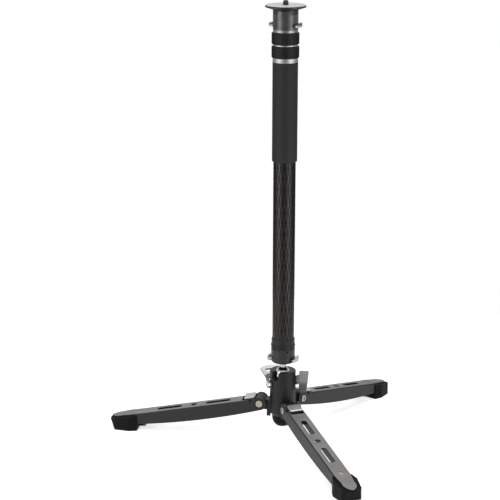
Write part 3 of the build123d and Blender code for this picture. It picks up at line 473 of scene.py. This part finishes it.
def plain_metal(name, colour, roughness, scratch_scale=900.0):
    """Bare metal with short faint scratches."""
    finish = Finish(name, Metallic=1.0)
    scratches = finish.blotches(scratch_scale, stretch=(1.0, 0.15, 1.0))
    drift = finish.blotches(50.0)
    finish.feed("Base Color", finish.mottle(drift, tinted(colour, 0.8), colour))
    finish.rough_about(roughness, (scratches, 0.12), (drift, 0.08))
    finish.raise_by(scratches, SCRATCH_DEPTH)
    return finish


wear(["hex_neck", "pedal_screws"], plain_metal("bright_steel", (0.58, 0.56, 0.54), roughness=0.26))
wear(
    ["hinge_bolts", "bracket_screws", "centre_foot_screw", "lock_screw"]
    + [f"{side}_foot_fixing" for side in SIDES],
    plain_metal("warm_steel", (0.40, 0.355, 0.31), roughness=0.34),
)
spring_wire = plain_metal("spring_wire", (0.30, 0.30, 0.30), roughness=0.35, scratch_scale=700.0)
wear(
    ["top_latch_springs", "base_latch_springs"] + [f"{side}_latch_spring" for side in SIDES],
    spring_wire,
)
wear(
    ["pivot_ball"],
    plain_metal("polished_ball", (0.44, 0.42, 0.40), roughness=0.12, scratch_scale=400.0),
)
wear(
    ["base_latch_front", "base_latch_back"],
    plain_metal("pressed_silver", (0.56, 0.55, 0.545), roughness=0.38),
)

# %% [markdown]
# The pedal is bead-blasted and left silver. Blasting leaves tiny round dents, which scatter the light
# until the metal looks almost like light paint, so it is barely metallic here. The edges and the arms
# near the hinge are painted shade: a mask keeps the silver to what lies flat and is some way out from
# the pole.

# %% Pedal
UPWARD = (0.0, 0.0, 1.0)
LYING_FLAT = (0.5, 0.8)
ARMS_END = 0.031
PLATE_START = 0.034
DENT_DEPTH = 0.00004


def pedal_finish():
    """Blasted silver metal, with painted shade on the edges and the two hinge arms."""
    finish = Finish("blasted_silver")
    dents = finish.blotches(1800.0)
    drift = finish.blotches(40.0)
    silver = finish.mottle(drift, (0.80, 0.80, 0.79), (0.87, 0.87, 0.86))
    x, y, _ = finish.parts(finish.place())
    lying = finish.along(finish.facing(), UPWARD).size().between(*LYING_FLAT)
    unshaded_plate = (x * x + y * y).root().between(ARMS_END, PLATE_START) * lying
    # The dark colour is painted shade on the edges and the hinge arms.
    finish.feed("Base Color", finish.mix(unshaded_plate, (0.12, 0.12, 0.117), silver))
    finish.feed("Metallic", 0.2 + drift * 0.1)
    finish.rough_about(0.48, (dents, 0.12))
    finish.raise_by(dents, DENT_DEPTH)
    return finish


wear(["pedal"], pedal_finish())

# %% [markdown]
# The wing knob and the hidden guides are moulded plastic, with the faint spark-eroded texture of a mould.
# The lower part of the knob's wing lies in shade, and a fade between two heights paints that shade without
# a seam.

# %% Moulded plastic
KNOB_PAINTED_SHADE = (0.094, 0.104)
MOULD_DEPTH = 0.00004


def moulded(name, shade, roughness, shade_heights=None):
    """Plastic with the fine texture of its mould, and painted shade that can darken it downward between
    two heights.
    """
    finish = Finish(name, Specular_IOR_Level=0.45)
    texture = finish.blotches(1300.0, detail=3.0)
    drift = finish.blotches(30.0)
    colour = finish.mottle(drift, shade, tinted(shade, 1.2))
    if shade_heights:
        height = finish.parts(finish.place())[2]
        # Painted shade: the colour darkens downward between the two heights.
        colour = finish.mix(height.between(*shade_heights), tinted(shade, 0.5), colour)
    finish.feed("Base Color", colour)
    finish.rough_about(roughness, (texture, 0.15))
    finish.raise_by(texture, MOULD_DEPTH)
    return finish


wear(["lock_knob"], moulded("grey_plastic", (0.185, 0.185, 0.185), roughness=0.455, shade_heights=KNOB_PAINTED_SHADE))
wear(
    [
        "ball_seat", "clamp_pad", "knob_washer", "upper_collet", "lower_collet", "mid_tube_bush",
        "inner_tube_bush",
    ],
    moulded("black_nylon", (0.020, 0.020, 0.020), roughness=0.505),
)

# %% [markdown]
# Each leg is a folded channel with a warm grey top and much darker rounded edges, sides and windows. The
# dark of the sides and of what shows through the windows is painted shade. A leg points in its own
# direction and slopes, so its finish measures the distance across the leg and the height over its hinge,
# square to the leg. The grey is kept to what faces up, lies between the rounded edges and is as high as
# the skin of the top, which leaves out what shows through the windows.

# %% Legs
LEG_AZIMUTHS = {"left": math.radians(180), "front": math.radians(300), "right": math.radians(60)}
PIVOT_RADIUS = 0.0374
PIVOT_HEIGHT = 0.061
LEG_SLOPE = math.radians(10.9)
LEG_SKIN = 0.0081
LEG_LIT_FACES = (0.80, 0.93)
LEG_EDGE_START = 0.0122
LEG_EDGE_END = 0.0131
GRAIN_SCALE = 1200.0
LEG_GRAIN_DEPTH = 0.00005


def above_hinge(finish, side):
    """How high a point is over a leg's hinge, square to the leg."""
    azimuth = LEG_AZIMUTHS[side]
    flat = math.sin(LEG_SLOPE)
    steep = math.cos(LEG_SLOPE)
    direction = (flat * math.cos(azimuth), flat * math.sin(azimuth), steep)
    return finish.along(finish.place(), direction) - (PIVOT_RADIUS * flat + PIVOT_HEIGHT * steep)


def leg_finish(side):
    """Warm grey on top, dark on the rounded edges, with painted shade on the sides and in the windows."""
    azimuth = LEG_AZIMUTHS[side]
    finish = Finish(f"{side}_leg_metal", Specular_IOR_Level=0.25)
    across = finish.along(finish.place(), (-math.sin(azimuth), math.cos(azimuth), 0.0)).size()
    lit_facing = finish.along(finish.facing(), UPWARD).between(*LEG_LIT_FACES)
    inside = 1.0 - across.between(LEG_EDGE_START, LEG_EDGE_END)
    flat = lit_facing * inside * (above_hinge(finish, side) > LEG_SKIN)
    drift = finish.blotches(25.0)
    grain = finish.blotches(GRAIN_SCALE, detail=3.0)
    grey = finish.mottle(drift, (0.21, 0.202, 0.196), (0.25, 0.241, 0.234))
    # The dark colour is painted shade on the sides and in the windows, and plain dark on the rounded
    # edges.
    finish.feed("Base Color", finish.mix(flat, (0.021, 0.0204, 0.02), grey))
    finish.feed("Metallic", flat * 0.5)
    finish.feed("Roughness", 0.42 + grain * 0.1 - flat * 0.12)
    finish.raise_by(grain, LEG_GRAIN_DEPTH)
    return finish


for side in SIDES:
    wear([f"{side}_leg"], leg_finish(side))

# %% [markdown]
# The latches are pressed silver with painted shade on them: under a leg's latch plate it darkens the stem,
# and on the top latches the upper side of the grip. Their finishes differ in shade and in where the
# silver lies, so one function makes them and is given another that measures the silver, by height.

# %% Latches
LATCH_SKIN = 0.0107
SHADE_SHARE = 0.66
LATCH_GRAIN_DEPTH = 0.00003


def latch_finish(name, measure, silver, dark, metallic):
    """Silver metal and painted shade, with a function that gives the mask of the silver."""
    finish = Finish(name)
    bright = measure(finish)
    grain = finish.blotches(GRAIN_SCALE, detail=3.0)
    # The dark colour is painted shade: the stem under a leg latch's plate, and the upper side of the top
    # latches' grip.
    finish.feed("Base Color", finish.mix(bright, dark, silver))
    finish.feed("Metallic", bright * metallic)
    finish.rough_about(0.37, (grain, 0.1))
    finish.raise_by(grain, LATCH_GRAIN_DEPTH)
    return finish


def leg_plate(side):
    """Measures the plate on a leg's latch."""
    return lambda finish: above_hinge(finish, side) > LATCH_SKIN


def below_painted_shade(finish):
    """Measures what lies under the painted shade on the upper side of the top latches."""
    low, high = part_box("top_latch_front")
    height = finish.parts(finish.place())[2]
    return 1.0 - (height > low.z + (high.z - low.z) * SHADE_SHARE)


PLATED = {"silver": (0.50, 0.49, 0.49), "dark": (0.012, 0.012, 0.012), "metallic": 0.95}
SHADED_TOP = {"silver": (0.56, 0.55, 0.545), "dark": (0.014, 0.014, 0.014), "metallic": 1.0}
for side in SIDES:
    wear([f"{side}_latch"], latch_finish(f"{side}_latch_metal", leg_plate(side), **PLATED))
wear(["top_latch_front", "top_latch_back"], latch_finish("latch_with_grip", below_painted_shade, **SHADED_TOP))

# %% [markdown]
# New meshes are drawn with bmesh, which keeps points and faces easy to add. A round piece is a sheet of
# points wrapped round its axis, ring by ring, and closed at both ends. Smooth shading hides its flat
# faces, except where two of them meet at more than a set angle.

# %% Meshes wrapped round an axis
SHARP_ANGLE = math.radians(50)


def add_mesh(name, mesh):
    """A new object in the scene from a drawn mesh."""
    data = bpy.data.meshes.new(name)
    mesh.to_mesh(data)
    mesh.free()
    return add_object(name, data)


def wrapped_sheet(name, rows):
    """A closed mesh from rows of points, each row a ring of one length."""
    mesh = bmesh.new()
    rings = [[mesh.verts.new(point) for point in row] for row in rows]
    for lower, upper in zip(rings, rings[1:]):
        for step in range(len(lower)):
            after = (step + 1) % len(lower)
            mesh.faces.new((lower[step], lower[after], upper[after], upper[step]))
    mesh.faces.new(reversed(rings[0]))
    mesh.faces.new(rings[-1])
    made = add_mesh(name, mesh)
    made.data.shade_smooth()
    made.data.set_sharp_from_angle(angle=SHARP_ANGLE)
    return made


print("edges sharp over", round(math.degrees(SHARP_ANGLE)), "degrees")

# %% [markdown]
# The camera screw has a real thread: a ridge that winds round the shank. It could be swept along a helix,
# but would then have to be joined to the shank. Here a wrapped sheet is both. Each of its points asks how
# far it is along the helix, from its height and its angle, and is drawn in by the depth of the thread
# there, which makes one clean solid.

# %% Threaded camera screw
STUD_PITCH = 0.0015875
THREAD_DEPTH = 0.0008
THREAD_STEPS = 48
ROWS_A_TURN = 8
TIP_HEIGHT = 0.0014
TIP_RADIUS = 0.0031
TIP_ROUNDING = 0.0004
SCREW_SUNK = 0.0009


def thread_radius(crest, height, angle, left):
    """How far the thread reaches at a height and an angle, with so much of the shank left above."""
    phase = height / STUD_PITCH - angle / math.tau
    root = THREAD_DEPTH * (0.5 - 0.5 * math.cos(math.tau * phase))
    return crest - max(root, THREAD_DEPTH - left)


def camera_screw():
    """The platform's screw with its thread."""
    low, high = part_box("camera_stud")
    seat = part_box("camera_platform")[1].z
    crest = (high.x - low.x) / 2
    shoulder = high.z - TIP_HEIGHT
    count = round((shoulder - seat) / STUD_PITCH * ROWS_A_TURN)
    angles = [math.tau * step / THREAD_STEPS for step in range(THREAD_STEPS)]

    def ring(height, radii):
        """A ring of points at one height, with a radius for each angle."""
        return [(r * math.cos(angle), r * math.sin(angle), height) for r, angle in zip(radii, angles)]

    rows = [ring(seat - SCREW_SUNK, [crest - THREAD_DEPTH] * THREAD_STEPS)]
    for row in range(count + 1):
        height = seat + (shoulder - seat) * row / count
        left = shoulder - height
        rows.append(ring(height, [thread_radius(crest, height - seat, angle, left) for angle in angles]))
    for radius, height in (
        (TIP_RADIUS, shoulder),
        (TIP_RADIUS, high.z - TIP_ROUNDING),
        (TIP_RADIUS - TIP_ROUNDING, high.z),
    ):
        rows.append(ring(height, [radius] * THREAD_STEPS))
    return wrapped_sheet("threaded_screw", rows)


dark_steel = plain_metal("dark_steel", (0.09, 0.08, 0.072), roughness=0.32)
threaded_screw = camera_screw()
threaded_screw.data.materials.append(dark_steel.material)
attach(threaded_screw, "platform")
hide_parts("camera_stud")
print("thread points", len(threaded_screw.data.vertices))

# %% [markdown]
# Under each leg's latch plate lies a coil spring that pulls the latch home. A spring is a wire along a
# helix, and a curve with a round bevel is exactly that: a few points for each turn, and Blender sweeps
# the wire along them. The turns lie closer at both ends, as on a real spring, because the rise eases in
# and out there.

# %% Coil springs of the leg latches
COIL_START = 0.0263
COIL_END = 0.035
COIL_LEVEL = 0.002
COIL_RADIUS = 0.0018
COIL_WIRE = 0.0004
COIL_TURNS = 7
COIL_POINTS = 14
COIL_SMOOTHNESS = 3


def leg_point(side, along, across, above):
    """A place given along, across and square to a leg, from its pivot, in the shared frame."""
    out = PIVOT_RADIUS + along * math.cos(LEG_SLOPE) + above * math.sin(LEG_SLOPE)
    height = PIVOT_HEIGHT - along * math.sin(LEG_SLOPE) + above * math.cos(LEG_SLOPE)
    azimuth = LEG_AZIMUTHS[side]
    x = out * math.cos(azimuth) - across * math.sin(azimuth)
    y = out * math.sin(azimuth) + across * math.cos(azimuth)
    return Vector((x, y, height))


def latch_coil(side):
    """The wire spring behind a leg's latch."""
    curve = bpy.data.curves.new(f"{side}_latch_coil", "CURVE")
    curve.dimensions = "3D"
    curve.bevel_depth = COIL_WIRE
    curve.bevel_resolution = COIL_SMOOTHNESS
    curve.use_fill_caps = True
    spline = curve.splines.new("POLY")
    count = COIL_TURNS * COIL_POINTS
    spline.points.add(count)
    length = COIL_END - COIL_START - 2 * COIL_WIRE
    for index in range(count + 1):
        turned = math.tau * index / COIL_POINTS
        share = index / count
        eased = share * share * (3.0 - 2.0 * share)
        along = COIL_START + COIL_WIRE + length * (share * 0.5 + eased * 0.5)
        across = COIL_RADIUS * math.cos(turned)
        above = COIL_LEVEL + COIL_RADIUS * math.sin(turned)
        spline.points[index].co = (*leg_point(side, along, across, above), 1.0)
    coil = add_object(f"{side}_latch_coil", curve)
    curve.materials.append(spring_wire.material)
    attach(coil, f"{side}_leg")
    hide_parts(f"{side}_latch_spring")


for side in SIDES:
    latch_coil(side)
print("coils wound", len(SIDES))

# %% [markdown]
# Light for a product on white: two tall soft panels draw the two long highlights down the pole, one on
# each side of the camera, and a third one over the top lights what lies flat. Places are given by a
# bearing round the pole, counted from the camera's side, because that is how lamps are walked round an
# object in a studio.

# %% Lamps
POLE_MIDDLE = Vector((0.0, 0.0, 0.40))
VIEW_BEARING = math.atan2(CAMERA_PLACE.x, -CAMERA_PLACE.y)
SIDE_PANEL = {"distance": 1.8, "height": 0.4, "width": 0.85, "tall": 2.0, "power": 20.0}
TOP_PANEL = {"distance": 0.5, "height": 2.2, "width": 1.4, "tall": 1.4, "power": 12.0}


def round_the_pole(bearing, distance, height):
    """A place at a bearing from the camera's side of the pole."""
    turned = VIEW_BEARING + math.radians(bearing)
    return Vector((distance * math.sin(turned), -distance * math.cos(turned), height))


def soft_panel(name, bearing, distance, height, width, tall, power):
    """A soft light at a bearing round the pole, facing it."""
    data = bpy.data.lights.new(name, "AREA")
    data.shape = "RECTANGLE"
    data.size = width
    data.size_y = tall
    data.energy = power
    lamp = add_object(name, data)
    lamp.location = round_the_pole(bearing, distance, height)
    lamp.rotation_mode = "QUATERNION"
    lamp.rotation_quaternion = (POLE_MIDDLE - lamp.location).to_track_quat("-Z", "Y")


soft_panel("left_panel", bearing=-56.0, **SIDE_PANEL)
soft_panel("right_panel", bearing=52.0, **SIDE_PANEL)
soft_panel("top_panel", bearing=0.0, **TOP_PANEL)

# %% [markdown]
# A white surround mirrors in every edge of a dark object and washes it out. A photographer hangs black
# flags round it, out of the picture, so that it has dark edges again. These are tall curved sheets
# before, beside and behind the pole, and only reflections see them.

# %% Black flags
FLAG_DISTANCE = 2.4
FLAG_LOW = -1.2
FLAG_STEPS = 12
FLAG_BLACK = (0.02, 0.02, 0.02, 1.0)
FRONT_FLAG_TOP = 2.4
SIDE_FLAG_TOP = 0.4


def dark_flag(name, start, end, top):
    """A tall curved dark sheet from one bearing to another, which only reflections see."""
    mesh = bmesh.new()
    columns = []
    for step in range(FLAG_STEPS + 1):
        bearing = start + (end - start) * step / FLAG_STEPS
        places = [round_the_pole(bearing, FLAG_DISTANCE, height) for height in (FLAG_LOW, top)]
        columns.append([mesh.verts.new(place) for place in places])
    for one, other in zip(columns, columns[1:]):
        mesh.faces.new((one[0], other[0], other[1], one[1]))
    flag = add_mesh(name, mesh)
    flag.data.materials.append(Finish(name, Base_Color=FLAG_BLACK, Roughness=1.0).material)
    flag.visible_camera = False
    flag.visible_diffuse = False
    flag.visible_shadow = False


dark_flag("front_flag", start=-30.0, end=30.0, top=FRONT_FLAG_TOP)
dark_flag("left_flag", start=-175.0, end=-85.0, top=SIDE_FLAG_TOP)
dark_flag("right_flag", start=80.0, end=175.0, top=SIDE_FLAG_TOP)
print("flags hung")

# %% [markdown]
# The world is a plain soft grey to the object, and full white to the camera, to reflections and through
# glass, so that the ground is white without more light on the object. The Light Path node tells the kinds
# of rays apart with ones and noughts, and the greatest of them picks the full value.

# %% White surround
AMBIENT = 0.42
WHITE = (1.0, 1.0, 1.0, 1.0)
WHITE_RAYS = ("Is Camera Ray", "Is Glossy Ray", "Is Transmission Ray")


def white_to_lens(shading, dim, full):
    """The full value to the lens, to reflections and through glass, and the dim one elsewhere."""
    seen, mirrored, through = [shading.node("ShaderNodeLightPath", out=kind) for kind in WHITE_RAYS]
    return seen.most(mirrored).most(through) * (full - dim) + dim


world = bpy.data.worlds.new("studio")
scene.world = world
world.use_nodes = True
surround = Shading(world.node_tree)
backing = surround.tree.nodes["Background"].inputs
surround.fill(backing["Color"], WHITE)
surround.fill(backing["Strength"], white_to_lens(surround, AMBIENT, 1.0))
scene.view_settings.view_transform = "Standard"
print("surround", AMBIENT)

# %% [markdown]
# The floor is a round pale sheet just wider than the legs. It takes the soft shadow under the feet, and a
# little glow that only the lens and reflections see lifts it to the white of the surround, so its edge
# doesn't show. It lies a hair under the feet, so that the soles and the floor don't fight for one height.

# %% Floor
FLOOR_RADIUS = 0.8
FLOOR_CORNERS = 96
FLOOR_HEIGHT = -0.0002
FLOOR_GLOW = 0.6
FLOOR_PAINT = (0.9, 0.9, 0.9, 1.0)


def floor_sheet():
    """A round pale floor under the feet."""
    mesh = bmesh.new()
    bmesh.ops.create_circle(mesh, cap_ends=True, radius=FLOOR_RADIUS, segments=FLOOR_CORNERS)
    floor = add_mesh("floor", mesh)
    floor.location.z = FLOOR_HEIGHT
    finish = Finish("floor", Base_Color=FLOOR_PAINT, Roughness=0.9, Specular_IOR_Level=0.1)
    finish.feed("Emission Color", WHITE)
    finish.feed("Emission Strength", white_to_lens(finish, 0.0, FLOOR_GLOW))
    floor.data.materials.append(finish.material)


floor_sheet()
print("floor laid")
